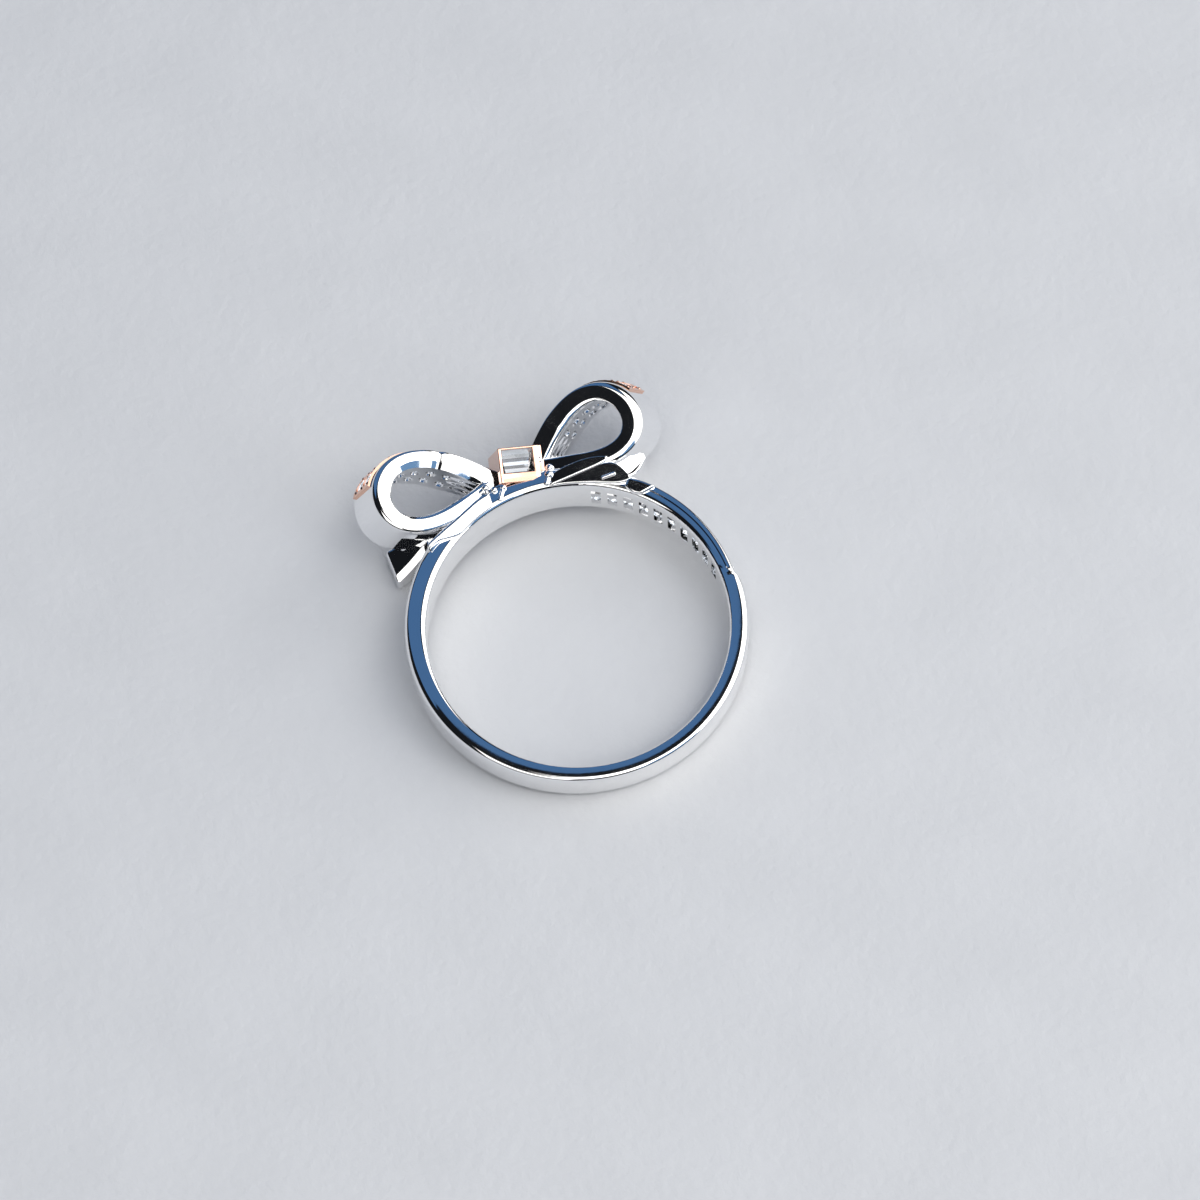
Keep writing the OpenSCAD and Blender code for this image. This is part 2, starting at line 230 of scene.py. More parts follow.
bore_r = 8.65
back_t, front_t = 0.95, 1.45
back_w, front_w = 2.2, 3.2
outer_rounding, bore_rounding = 0.54, 0.33
row_count, row_start, row_step = 10, 27.3, 6.3
row_recess, row_lip = 0.3, 0.07
row_from, row_to = row_start - 5, row_start + (row_count - 1) * row_step + 4
step_slant, step_skew = 0.13, 0.05
skin_t, skin_w, skin_shift = 0.022, 0.006, 0.004
mid_t, mid_w = (back_t + front_t) / 2, (back_w + front_w) / 2
outer_r, outer_shift = bore_r + mid_t, (front_t - back_t) / 2

silver, bench, shader, place = new_finish("polished_silver")
patch = bench.noise(place, 420, 3)
haze = bench.noise(place, 5200, 4, 0.6)
hairline = bench.noise(bench.stretched(place, (900, 14000, 5200)), 1, 2)
feed(shader, Metallic=1.0,
    Base_Color=bench.blend(patch, (0.90, 0.905, 0.915), (0.97, 0.97, 0.975)),
    Roughness=0.035 + haze * patch * 0.12,
    Normal=bench.add("ShaderNodeBump", {"Strength": 0.5, "Distance": 0.000004,
        "Height": bench.noise(place, 800, 2) + hairline * 0.08 + haze * 0.05}))


def new_rule(name, sizes):
    """A geometry tree with one named input for each size."""
    tree = bpy.data.node_groups.new(name, "GeometryNodeTree")
    for label, kind in sizes.items():
        tree.interface.new_socket(label, in_out="INPUT", socket_type="NodeSocket" + kind)
    tree.interface.new_socket("Geometry", in_out="OUTPUT", socket_type="NodeSocketGeometry")
    bench = Bench(tree)
    given = tree.nodes.new("NodeGroupInput")
    return bench, {label: Wire(bench, given.outputs[label]) for label in sizes}


def close_rule(bench, geometry, material):
    """Ends a rule: its instances are made real and take the material."""
    real = bench.add("GeometryNodeRealizeInstances", {"Geometry": geometry})
    done = bench.add("GeometryNodeSetMaterial", {"Geometry": real, "Material": material})
    bench.tree.links.new(done.socket, bench.tree.nodes.new("NodeGroupOutput").inputs[0])


def baked(piece):
    """The piece with its modifiers turned into plain mesh."""
    bpy.context.view_layer.update()
    graph = bpy.context.evaluated_depsgraph_get()
    mesh = bpy.data.meshes.new_from_object(piece.evaluated_get(graph), depsgraph=graph)
    piece.modifiers.clear()
    piece.data = mesh
    mesh.name = piece.name
    return piece


def made_by_rule(name, bench, values):
    """A plain mesh piece that the bench's rule makes from these values."""
    piece = bpy.data.objects.new(name, bpy.data.meshes.new(name))
    bpy.context.scene.collection.objects.link(piece)
    rule = piece.modifiers.new("rule", "NODES")
    rule.node_group = bench.tree
    for item in bench.tree.interface.items_tree:
        if item.in_out == "INPUT":
            rule[item.identifier] = values[item.name]
    return baked(piece)


def settled(piece, *nodes, slot="silver", sharp=40):
    """The finished piece: laid on the table, shaded, riding, and standing for its nodes."""
    piece.data.transform(on_table)
    piece.data.shade_smooth()
    piece.data.set_sharp_from_angle(angle=math.radians(sharp))
    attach(piece, "root")
    if nodes:
        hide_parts(*nodes)
    return piece


bench, given = new_rule("band_rule", {"Bore radius": "Float", "Middle thickness": "Float",
    "Thickness change": "Float", "Middle width": "Float", "Width change": "Float",
    "Outer rounding": "Float", "Bore rounding": "Float", "Row recess": "Float", "Row lip": "Float",
    "Row from": "Float", "Row to": "Float", "Material": "Material"})
half_t, half_w = given["Middle thickness"] / 2, given["Middle width"] / 2
section = bench.add("GeometryNodeCurvePrimitiveQuadrilateral",
    {"Width": given["Middle thickness"], "Height": given["Middle width"]})
across = bench.add("ShaderNodeSeparateXYZ", {0: bench.add("GeometryNodeInputPosition")})
is_outer = across > 0
rounding = given["Bore rounding"] + is_outer * (given["Outer rounding"] - given["Bore rounding"])
section = bench.add("GeometryNodeFilletCurve", {"Curve": section, "Radius": rounding, "Count": 11},
    mode="POLY")
section = bench.add("GeometryNodeTransform", {"Geometry": section,
    "Translation": bench.add("ShaderNodeCombineXYZ", {0: half_t})})
circle = bench.add("GeometryNodeCurvePrimitiveCircle",
    {"Resolution": 600, "Radius": given["Bore radius"]})
sweep = bench.add("GeometryNodeCurveToMesh", {"Curve": circle, "Profile Curve": section})

# The plain round sweep is now shaped: thicker and wider towards the bow, sunk along the row. The
# outer edge's rounding is drawn tight over the row, and on the near side towards the back.
x = bench.add("ShaderNodeSeparateXYZ", {0: bench.add("GeometryNodeInputPosition")})
y, z = x.other("Y"), x.other("Z")
radius = (x * x + y * y) ** 0.5
front = y / radius
turn = x.math("ARCTAN2", x, y)
depth = radius - given["Bore radius"]
outwards = depth / given["Middle thickness"]
row_end = given["Row to"] + step_slant * (outwards - 0.45) + step_skew * (1 - z / half_w)


def ramp(value, low, high):
    return bench.add("ShaderNodeMapRange", {0: value, 1: low, 2: high},
        interpolation_type="SMOOTHSTEP")


in_row = (ramp(turn, given["Row from"] - 0.02, given["Row from"])
    * (1 - ramp(turn, row_end, row_end + 0.045)))
flat_to = given["Middle thickness"] - given["Outer rounding"]
lip = (depth > flat_to + 0.02) * in_row * given["Row lip"]
at_back = (depth > flat_to - 0.002) * (z > 0) * front.math("MAXIMUM", 0 - front, 0)
tight = 0.5 * front.math("MAXIMUM", (depth > flat_to + 0.1) * in_row, at_back)
depth = depth + tight * (given["Middle thickness"] - depth)
outward_z = z.math("SIGN", z) * ((half_w - z.math("ABSOLUTE", z)) * tight + lip)
off_circle = (given["Thickness change"] * x / radius) ** 2 / (2 * outer_r)
thick = 1 + (given["Thickness change"] * front - off_circle
    - given["Row recess"] * in_row) / given["Middle thickness"]
new_radius = given["Bore radius"] + depth * thick
wide = 1 + given["Width change"] * front * new_radius / given["Middle width"] / outer_r
shaped = bench.add("GeometryNodeSetPosition", {"Geometry": sweep,
    "Position": bench.add("ShaderNodeCombineXYZ",
        {0: x * new_radius / radius, 1: y * new_radius / radius, 2: (z + outward_z) * wide})})
close_rule(bench, shaped, given["Material"])

band = made_by_rule("band", bench, {"Bore radius": bore_r, "Middle thickness": mid_t - skin_t,
    "Thickness change": outer_shift + skin_shift, "Middle width": mid_w - skin_w,
    "Width change": (front_w - back_w) / 2, "Outer rounding": outer_rounding,
    "Bore rounding": bore_rounding, "Row recess": row_recess, "Row lip": row_lip,
    "Row from": math.radians(row_from), "Row to": math.radians(row_to), "Material": silver})


# The stone row on the right shoulder. Ten clear round stones in seats drilled through the band,
# each with an oblong window behind it, held by small beads raised from the metal. The heights of
# the stone's parts are shares of its diameter.

stone_d, table_share = 0.92, 0.56
crown_h, girdle_h, pavilion_h = 0.16, 0.03, 0.43
stone_gap, stone_sink = 0.03, 0.2
culet_r = 0.2
window_size = (0.55, 1.5, 1.5)
row_bead_d, row_bead_sink, row_bead_along = 0.3, 0.1, 0.44


def stone_finish(name, index, glance, painted_shade_grey=1.0):
    """A clear stone of that refractive index. Glance is its mirror share, and tint greys it: painted
    shade that darkens its inside.
    The mesh's glow share says how brightly each facet glows by emission: a painted sparkle, not light
    it sends back."""
    material, bench, shader, place = new_finish(name)
    cloud = bench.noise(place, 900, 2)
    fire = bench.add("ShaderNodeAttribute", out="Fac", attribute_name="fire")
    # Painted light: the stones glow by emission as far as the mesh's glow share says, standing in for
    # their sparkle.
    feed(shader, Emission_Color=bench.blend(fire, (0.0, 0.0, 0.0), (0.88, 0.94, 1.0)),
        Emission_Strength=0.9,
        Base_Color=bench.blend(cloud, (0.96 * painted_shade_grey, 0.97 * painted_shade_grey, painted_shade_grey), (painted_shade_grey, painted_shade_grey, painted_shade_grey)),
        Roughness=cloud * 0.012, IOR=index, Transmission_Weight=1.0, Metallic=glance,
        Normal=bench.add("ShaderNodeBump", {"Strength": 0.1, "Distance": 0.000001,
            "Height": bench.noise(place, 9000, 2)}))
    return material


clear = stone_finish("clear_stone", 2.15, 0.3)


def mesh_piece(name, bm, *materials):
    """A piece from a finished shape, its doubles merged and its faces turned outwards."""
    bmesh.ops.remove_doubles(bm, verts=bm.verts, dist=1e-5)
    bmesh.ops.recalc_face_normals(bm, faces=bm.faces)
    piece = bpy.data.objects.new(name, bpy.data.meshes.new(name))
    bm.to_mesh(piece.data)
    bm.free()
    for material in materials:
        piece.data.materials.append(material)
    bpy.context.scene.collection.objects.link(piece)
    return piece


def turn_up(bm, place, outline, sides):
    """Adds a turned solid: an outline of radius and height, from axis to axis, about place's Z."""
    rings = []
    for r, h in outline:
        steps = sides if r > 0 else 1
        rings.append([bm.verts.new(place @ Vector((r * math.cos(2 * math.pi * k / sides),
            r * math.sin(2 * math.pi * k / sides), h))) for k in range(steps)])
    for low, high in zip(rings, rings[1:]):
        for k in range(sides):
            corners = [low[k % len(low)], low[(k + 1) % len(low)],
                high[(k + 1) % len(high)], high[k % len(high)]]
            bm.faces.new(list(dict.fromkeys(corners)))


def drilled(piece, bm):
    """The piece with the cutters' shapes taken out of it."""
    cutter = mesh_piece("cutter", bm)
    cut = piece.modifiers.new("cut", "BOOLEAN")
    cut.operation, cut.solver, cut.object, cut.use_self = "DIFFERENCE", "EXACT", cutter, True
    baked(piece)
    bpy.data.objects.remove(cutter)
    return piece


def seat_outline(hole, far_side, flare):
    """A stone's seat and the hole behind it, which flares where it leaves the metal at far_side.
    The cutter reaches past the metal at both ends."""
    past, over = 0.15, 0.8
    ledge = -stone_sink - stone_gap
    r = stone_d / 2 + stone_gap
    return [(0, -far_side - past), (hole + flare + past, -far_side - past),
        (hole, -far_side + flare), (hole, ledge - pavilion_h * stone_d), (r, ledge), (r, over),
        (0, over)]


def cut_stone():
    """A round cut stone one across, its girdle at 0: 33 facets above and 24 below. A facet's
    glow share sets how brightly it glows by emission: a painted sparkle in place of light sent back."""
    bm = bmesh.new()

    def ring(r, h, count, shift=0.0):
        return [(r * math.cos(2 * math.pi * (k + shift) / count),
            r * math.sin(2 * math.pi * (k + shift) / count), h) for k in range(count)]

    points = (ring(table_share / 2, crown_h, 8, 0.5) + ring(0.405, 0.092, 8)
        + ring(0.5, girdle_h / 2, 16) + ring(0.5, -girdle_h / 2, 16)
        + ring(0.262, -0.215, 8, 0.5) + ring(0.03, -pavilion_h, 8))
    for point in points:
        bm.verts.new(point)
    bmesh.ops.convex_hull(bm, input=bm.verts)
    bmesh.ops.dissolve_limit(bm, angle_limit=math.radians(0.5), verts=bm.verts, edges=bm.edges)
    # Painted sparkle: the facets glow in a fan of bright and dark, the crown's more weakly.
    fire = bm.faces.layers.float.new("fire")
    for facet in bm.faces:
        middle = facet.calc_center_median()
        sparkle = max(0, math.sin(5 * math.atan2(middle.y, middle.x) + 60 * middle.z))
        facet[fire] = sparkle if middle.z < 0 else sparkle ** 3
    return mesh_piece("cut_stone", bm, clear)


def bead():
    """The pattern of the beads: a ball one across, turned up so that its order never varies."""
    bm = bmesh.new()
    levels = [math.pi * k / 9 for k in range(1, 9)]
    turn_up(bm, Matrix.Rotation(math.pi / 2, 4, "Z"), [(0, -0.5)]
        + [(0.5 * math.sin(turn), -0.5 * math.cos(turn)) for turn in levels] + [(0, 0.5)], 14)
    return mesh_piece("bead", bm, clear)


stone_shape, bead_shape = cut_stone(), bead()

bench, given = new_rule("set_in_rows", {"Guide": "Object", "Piece": "Object", "Diameter": "Float",
    "Turn": "Float", "Seed": "Int", "Material": "Material"})
facing = bench.add("GeometryNodeInputNamedAttribute", {"Name": "facing"}, data_type="FLOAT_VECTOR")
upright = bench.add("FunctionNodeAlignRotationToVector", {"Vector": facing}, axis="Z")
spin = bench.add("FunctionNodeRandomValue", {2: 0.0, 3: given["Turn"], "Seed": given["Seed"]}, out=1,
    data_type="FLOAT")
spun = bench.add("FunctionNodeRotateRotation", {"Rotation": upright,
    "Rotate By": bench.add("FunctionNodeAxisAngleToRotation", {"Axis": (0, 0, 1), "Angle": spin})},
    rotation_space="LOCAL")
placed = bench.add("GeometryNodeInstanceOnPoints", {
    "Points": bench.add("GeometryNodeObjectInfo", {"Object": given["Guide"]}, out="Geometry"),
    "Instance": bench.add("GeometryNodeObjectInfo", {"Object": given["Piece"]}, out="Geometry"),
    "Rotation": spun, "Scale": given["Diameter"]})
close_rule(bench, placed, given["Material"])
set_in_rows = bench


def set_pieces(name, places, shape, diameter, material, turn=math.pi / 4, seed=7):
    """One mesh of many like pieces, each at a (point, outward direction) of places."""
    guide = bpy.data.objects.new("guide", bpy.data.meshes.new("guide"))
    guide.data.from_pydata([point for point, _ in places], [], [])
    facing = guide.data.attributes.new("facing", "FLOAT_VECTOR", "POINT")
    facing.data.foreach_set("vector", [n for _, outward in places for n in outward])
    bpy.context.scene.collection.objects.link(guide)
    piece = made_by_rule(name, set_in_rows, {"Guide": guide, "Piece": shape, "Diameter": diameter,
        "Turn": turn, "Seed": seed, "Material": material})
    bpy.data.objects.remove(guide)
    return piece


def on_shoulder(i, along=0.0, lift=0.0):
    """A place on the row's surface: Z outwards, Y along the finger."""
    angle = math.radians(row_start + i * row_step)
    surface = outer_r - row_recess + outer_shift * math.cos(angle) + 0.1
    return (Matrix.Rotation(-angle, 4, "Z") @ Matrix.Translation((0, surface + lift, along))
        @ Matrix.Rotation(-math.pi / 2, 4, "X"))


def point_and_facing(place):
    """What set_pieces needs to know of a place."""
    return place.translation, place.to_3x3() @ Vector((0, 0, 1))


cutters = bmesh.new()
for i in range(row_count):
    turn_up(cutters, on_shoulder(i), seat_outline(culet_r, 1.05, 0.0), 32)
band = drilled(band, cutters)
cutters = bmesh.new()
for i in range(row_count):
    angle = math.radians(row_start + i * row_step)
    bmesh.ops.create_cube(cutters, size=1, matrix=Matrix.Rotation(-angle, 4, "Z")
        @ Matrix.Translation((0, bore_r - 0.1, 0)) @ Matrix.Diagonal((*window_size, 1)))
band = drilled(band, cutters)
settled(band, "ring_body")

girdle_lift = girdle_h / 2 * stone_d - stone_sink
stones = set_pieces("shoulder_row_stones", [
    point_and_facing(on_shoulder(i, lift=girdle_lift)) for i in range(row_count)],
    stone_shape, stone_d, clear)
settled(stones, "shoulder_stones", slot="clear_stone", sharp=2)

beads = set_pieces("shoulder_row_beads", [
    point_and_facing(on_shoulder(i + 0.5, along, lift=-row_bead_sink))
    for i in range(-1, row_count) for along in (-row_bead_along, row_bead_along)],
    bead_shape, row_bead_d, silver)
settled(beads)


# The bow's loops. Two ribbons of silver bent into teardrops, 0.92 mm thick and 3 mm wide, gathered
# into pleats at the knot. Their walls lean outwards, and each loop slants up from the tails. A
# place on a loop is an angle of its outline, from 0 at the knot over its far end back to 360.

bow_rise, bow_lean, loop_slant = 10.6, math.radians(13), math.radians(8)
loop_full, loop_start, ribbon_t, ribbon_w, gather_w, neck_extra = 2.77, 1.3, 0.92, 3.0, 2.1, 0.35
far_edge = 0.26
outline_from, outline_to, outline_steps = 9, 351, 240
pleat_count, upper_pleat, lower_pleat = 4.5, 0.2, 0.1
dent_at, dent_half = 88, 3
loop_sizes = {
    "left": {"len": 7.25, "lift": math.radians(7.5), "sweep": math.radians(15), "hand": -1,
        "inward": 0.12, "outer_edge": (0.16, 0.3), "inner_edge": (0.4, 0.26), "dent": 0.07,
        "bevel": 1},
    "right": {"len": 7.0, "lift": math.radians(10), "sweep": math.radians(19), "hand": 1,
        "inward": 0.24, "outer_edge": (0.07, 0.44), "inner_edge": (0.28, 0.08), "dent": 0.0,
        "bevel": 0},
}
panel_shift, panel_proud = 0.2, 0.13
panel_count, panel_pitch, panel_from, panel_end_gap = 6, 1.03, 62, 0.25


def drop_point(a, length):
    """A point of the teardrop outline."""
    a = math.radians(a)
    return Vector((length * (1 - math.cos(a)) / 2,
        loop_full * math.sin(a) * abs(math.sin(a / 2)) ** 1.3))


def drop_normal(a, length):
    d = drop_point(a + 0.5, length) - drop_point(a - 0.5, length)
    return Vector((-d.y, d.x)).normalized()


def in_loop(sizes, a, off, h):
    """A point of a loop's ribbon: at a of its outline, off its middle line, at height h."""
    p = drop_point(a, sizes["len"]) + off * drop_normal(a, sizes["len"])
    lift = sizes["lift"]
    x = loop_start + p.x * math.cos(lift) - p.y * math.sin(lift) - h * math.tan(sizes["sweep"])
    y = p.x * math.sin(lift) + p.y * math.cos(lift)
    at = Vector((0, bow_rise, 0)) + Matrix.Rotation(bow_lean, 3, "X") @ (
        Matrix.Rotation(-loop_slant, 3, "Y") @ Vector((x, y, h)))
    return Vector((at.x * sizes["hand"], at.y, at.z))


def soft_step(value, low, high):
    share = min(1, max(0, (value - low) / (high - low)))
    return share * share * (3 - 2 * share)


def rounded_section(half_a, half_b, edges, side_steps=2, end_steps=2, flat=0.0, fall=0.4):
    """Points round a rectangle, as pairs across and along. The four edges are its corners' radii,
    from the one at plus and plus on past the one at minus and plus, which flat turns into a bevel
    that falls by that share of its width."""
    radii = [max(1e-4, min(edge, 0.98 * half_a, 0.98 * half_b)) for edge in edges]
    points = []
    for quarter in range(4):
        r, after, last = radii[quarter], radii[(quarter + 1) % 4], (quarter + 1) % 4
        ca = (1, -1, -1, 1)[quarter] * (half_a - r)
        cb = (1, 1, -1, -1)[quarter] * (half_b - r)
        for k, share in enumerate((0, 0.06, 0.28, 0.5, 0.72, 0.94, 1)):
            turn = math.pi / 2 * (quarter + k / 6)
            bevelled = flat if quarter == 1 else 0
            points.append((ca + r * ((1 - bevelled) * math.cos(turn) - bevelled * share),
                cb + r * ((1 - bevelled) * math.sin(turn) + bevelled * (1 - fall * share))))
        turn = math.pi / 2 * (quarter + 1)
        start = points[-1]
        end = ((1, -1, -1, 1)[last] * (half_a - after) + after * math.cos(turn),
            (1, 1, -1, -1)[last] * (half_b - after) + after * math.sin(turn))
        steps = (end_steps, side_steps)[quarter % 2]
        brink = 0.06 / max(0.2, math.dist(start, end))
        for share in [brink] + [k / steps for k in range(1, steps)] + [1 - brink]:
            points.append((start[0] + (end[0] - start[0]) * share,
                start[1] + (end[1] - start[1]) * share))
    return points


def skin_over(bm, rings):
    """Faces between rings of points, with both ends closed."""
    made = [[bm.verts.new(point) for point in ring] for ring in rings]
    count = len(made[0])
    for low, high in zip(made, made[1:]):
        for k in range(count):
            bm.faces.new((low[k], low[(k + 1) % count], high[(k + 1) % count], high[k]))
    for ring in (made[0], made[-1]):
        middle = bm.verts.new(sum((v.co for v in ring), Vector()) / count)
        for k in range(count):
            bm.faces.new((ring[k], ring[(k + 1) % count], middle))


def extra_thickness(sizes, a):
    """What a ribbon gains on its inner side, at the neck and along the loop."""
    return (neck_extra * max(0, (90 - a) / 50)
        + sizes["inward"] * soft_step(a, 40, 90) * soft_step(340 - a, 0, 60))


def loop_rings(sizes):
    """The ribbon's sections along its outline, with its pleats, edges and dent."""
    rings = []
    for n in range(outline_steps + 1):
        a = outline_from + (outline_to - outline_from) * n / outline_steps
        length = sizes["len"]
        reach = drop_point(a, length).x
        width = gather_w + (ribbon_w - gather_w) * soft_step(reach, 0, 0.42 * length)
        extra = extra_thickness(sizes, a)
        pleat = (upper_pleat * (1 - soft_step(a, 36, 84)) if a < 180
            else lower_pleat * (1 - soft_step(360 - a, 24, 60)))
        turned = soft_step(a, 100, 165)
        outer, inner = ((1 - turned) * pair[0] + turned * pair[1]
            for pair in (sizes["outer_edge"], sizes["inner_edge"]))
        dent = sizes["dent"] * math.exp(-((a - dent_at) / dent_half) ** 2)
        ring = []
        for off, along in rounded_section((ribbon_t + extra) / 2, width / 2,
                (outer, inner, far_edge, far_edge), 30, 4,
                sizes["bevel"] * soft_step(a, 40, 60) * (1 - soft_step(a, 165, 200))):
            share = along / width + 0.5
            fold = 0
            if 0 < share < 1:
                fold = (pleat * math.sin(math.pi * share) ** 0.5
                    * (0.5 - 0.5 * math.cos(2 * math.pi * pleat_count * share)))
            edge_share = min(1, max(-1, 2.2 * off / (ribbon_t + extra)))
            ring.append(in_loop(sizes, a, off - extra / 2 - fold * edge_share,
                along - dent * soft_step(share, 0.7, 1)))
        rings.append(ring)
    return rings


def panel_angles(wanted_runs):
    """The outline's angles at those lengths along a panel's outer side."""
    mean = (loop_sizes["left"]["len"] + loop_sizes["right"]["len"]) / 2
    runs, run = [(0.0, panel_from)], 0.0
    shifted = lambda a: drop_point(a, mean) + ribbon_t / 2 * drop_normal(a, mean)
    for a in range(panel_from, 200, 2):
        run += (shifted(a + 2) - shifted(a)).length
        runs.append((run, a + 2))
    found = []
    for wanted in wanted_runs:
        for (r0, a0), (r1, a1) in zip(runs, runs[1:]):
            if r0 <= wanted <= r1:
                found.append(a0 + (a1 - a0) * (wanted - r0) / (r1 - r0))
                break
    return found


def panel_place(sizes, a, t, lift=0.0):
    """A place on a panel's surface, with Z outwards: t is the shift along the finger."""
    t = t - panel_shift
    surface = ribbon_t / 2 + panel_proud
    at = in_loop(sizes, a, surface, t * math.cos(sizes["sweep"]))
    ahead = in_loop(sizes, a + 1, surface, t) - in_loop(sizes, a - 1, surface, t)
    up = in_loop(sizes, a, surface, t + 0.1) - in_loop(sizes, a, surface, t - 0.1)
    out = up.cross(ahead).normalized() * (-sizes["hand"])
    if out.dot(in_loop(sizes, a, 1, t) - in_loop(sizes, a, 0, t)) < 0:
        out = -out
    turned = out.to_track_quat("Z", "Y").to_matrix().to_4x4()
    return Matrix.Translation(at + lift * out) @ turned


stone_marks = [panel_end_gap + stone_d / 2 + i * panel_pitch for i in range(panel_count)]
stone_angles = panel_angles(stone_marks)
bead_angles = panel_angles([0.05] + [mark + panel_pitch / 2 for mark in stone_marks[:-1]]
    + [stone_marks[-1] + panel_pitch / 2 - 0.08])

for hand, sizes in loop_sizes.items():
    shape = bmesh.new()
    skin_over(shape, loop_rings(sizes))
    loop = mesh_piece("loop_" + hand, shape, silver)
    cutters = bmesh.new()
    for a in stone_angles:
        for t in (-panel_pitch / 2, panel_pitch / 2):
            turn_up(cutters, panel_place(sizes, a, t), seat_outline(culet_r + 0.02,
                ribbon_t + panel_proud + extra_thickness(sizes, a), 0.1), 28)
    settled(drilled(loop, cutters), "ring_body")


# The panels on the loops. Thin curved plates of rose gold let into the ribbons, each with two rows
# of six clear stones that small beads hold.

panel_bead_d, panel_bead_sink, panel_bead_along = 0.26, 0.07, 0.86

rose, bench, shader, place = new_finish("rose_gold")
patch = bench.noise(place, 500, 3)
haze = bench.noise(place, 6000, 4, 0.6)
feed(shader, Metallic=1.0,
    Base_Color=bench.blend(patch, (0.79, 0.46, 0.34), (0.90, 0.58, 0.44)),
    Roughness=0.06 + haze * patch * 0.2,
    Normal=bench.add("ShaderNodeBump", {"Strength": 0.5, "Distance": 0.000004,
        "Height": bench.noise(place, 900, 2) + haze * 0.12}))

for hand, sizes in loop_sizes.items():
    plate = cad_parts["panel_" + hand]
    plate.data.materials.clear()
    plate.data.materials.append(rose)
    stones = set_pieces("panel_set_stones_" + hand, [
        point_and_facing(panel_place(sizes, a, t, girdle_lift))
        for a in stone_angles for t in (-panel_pitch / 2, panel_pitch / 2)],
        stone_shape, stone_d, clear, seed=11 + sizes["hand"])
    settled(stones, "panel_stones_" + hand, slot="clear_stone", sharp=2)
    beads = set_pieces("panel_beads_" + hand, [
        point_and_facing(panel_place(sizes, a, t, -panel_bead_sink))
        for a in bead_angles for t in (-panel_bead_along, 0, panel_bead_along)],
        bead_shape, panel_bead_d, rose)
    settled(beads, slot="rose_gold")


# The tails. Two ribbon ends of silver that start under the knot, follow the band and drop to the
# table, and their folded roots, which lie over the band's near face. All are soldered on. Each is
# a bar through stations, which are counted from the knot outwards and mirrored for the left hand.


def drawn_through(stations, count):
    """Stations joined by a smooth curve through them, as rows of numbers."""
    rows = []
    last = len(stations) - 1
    for n in range(count + 1):
        t = n / count * last
        i = min(int(t), last - 1)
        f = t - i
        p0, p1, p2, p3 = (stations[max(0, min(last, i + k))] for k in (-1, 0, 1, 2))
        rows.append([0.5 * (2 * b + (c - a) * f + (2 * a - 5 * b + 4 * c - d) * f * f
            + (3 * b - a - 3 * c + d) * f ** 3) for a, b, c, d in zip(p0, p1, p2, p3)])
    return rows


def bar(name, stations, edge, material, hand=1, count=40, last_edge=1.0, bevel=0.0):
    """A soft-edged bar through stations of centre, half thickness and half width (nine numbers).
    Its last edge is that share as round as the others, and a bevel may take off its second."""
    rows = [[Vector(row[0:3]), Vector(row[3:6]), Vector(row[6:9])]
        for row in drawn_through(stations, count)]
    rings = []

    def ring(centre, half_a, half_b, shrink, radius):
        a, b = half_a.length, half_b.length
        return [centre + half_a * (x / a) + half_b * (y / b) for x, y in rounded_section(
            max(0.02, a - shrink), max(0.02, b - shrink),
            (radius, max(radius, bevel * radius / edge), radius, radius * last_edge), 4, 4,
            float(bevel > 0), 0.62)]

    first = (rows[0][0] - rows[1][0]).normalized()
    final = (rows[-1][0] - rows[-2][0]).normalized()
    turns = [math.pi / 2 * k / 6 for k in range(7)]
    for turn in reversed(turns[1:]):
        rings.append(ring(rows[0][0] + first * edge * math.sin(turn), rows[0][1], rows[0][2],
            edge * (1 - math.cos(turn)), edge * math.cos(turn)))
    rings += [ring(centre, a, b, 0, edge) for centre, a, b in rows]
    for turn in turns[1:]:
        rings.append(ring(rows[-1][0] + final * edge * math.sin(turn), rows[-1][1], rows[-1][2],
            edge * (1 - math.cos(turn)), edge * math.cos(turn)))
    shape = bmesh.new()
    skin_over(shape, [[Vector((p.x * hand, p.y, p.z)) for p in r] for r in rings])
    return mesh_piece(name, shape, material)


def upright_station(u, v_in, v_out, h_top, h_low, slant=0.0, lean=0.0):
    """A tail's section at u: its two sides' distance along Y, and its top and bottom height."""
    half = (v_out - v_in) / 2
    return (u, v_in + half, (h_top + h_low) / 2, 0, half, half * lean, slant, 0, (h_top - h_low) / 2)


left_tail = bar("tail_left", [
    upright_station(1.8, 9.65, 10.45, 0.95, -1.15), upright_station(3.5, 9.25, 10.2, 0.55, -1.5),
    upright_station(5.0, 8.75, 9.9, 0.2, -1.85), upright_station(6.3, 8.15, 9.6, -0.1, -2.2),
    upright_station(7.4, 7.75, 9.5, -0.8, -2.45), upright_station(8.2, 7.55, 9.6, -1.35, -2.68),
    ], 0.2, silver, hand=-1, bevel=0.42)
settled(left_tail, "ring_body")
right_tail = bar("tail_right", [
    upright_station(1.8, 9.65, 10.45, 0.95, -1.15), upright_station(3.5, 9.25, 10.2, 0.6, -1.6),
    upright_station(5.0, 8.7, 9.9, 0.2, -2.1, 0, 0.08),
    upright_station(5.9, 8.3, 9.8, 0.16, -2.4, 0, 0.12),
    upright_station(6.6, 8.25, 9.8, 0.23, -2.55, 0.1, 0.13),
    upright_station(7.3, 8.8, 9.65, 0.33, -2.72, 0.12, 0.13)], 0.13, silver)
settled(right_tail, "ring_body")

root_lean, root_slant, root_t, root_rise = math.radians(7), math.radians(5.5), 0.6, 0.333
root_end_t = 0.4


def root_face(u, v):
    """The height of the roots' near faces, which tip up as the loops' rims do."""
    return root_rise + u * math.tan(root_slant) + v * math.tan(root_lean)


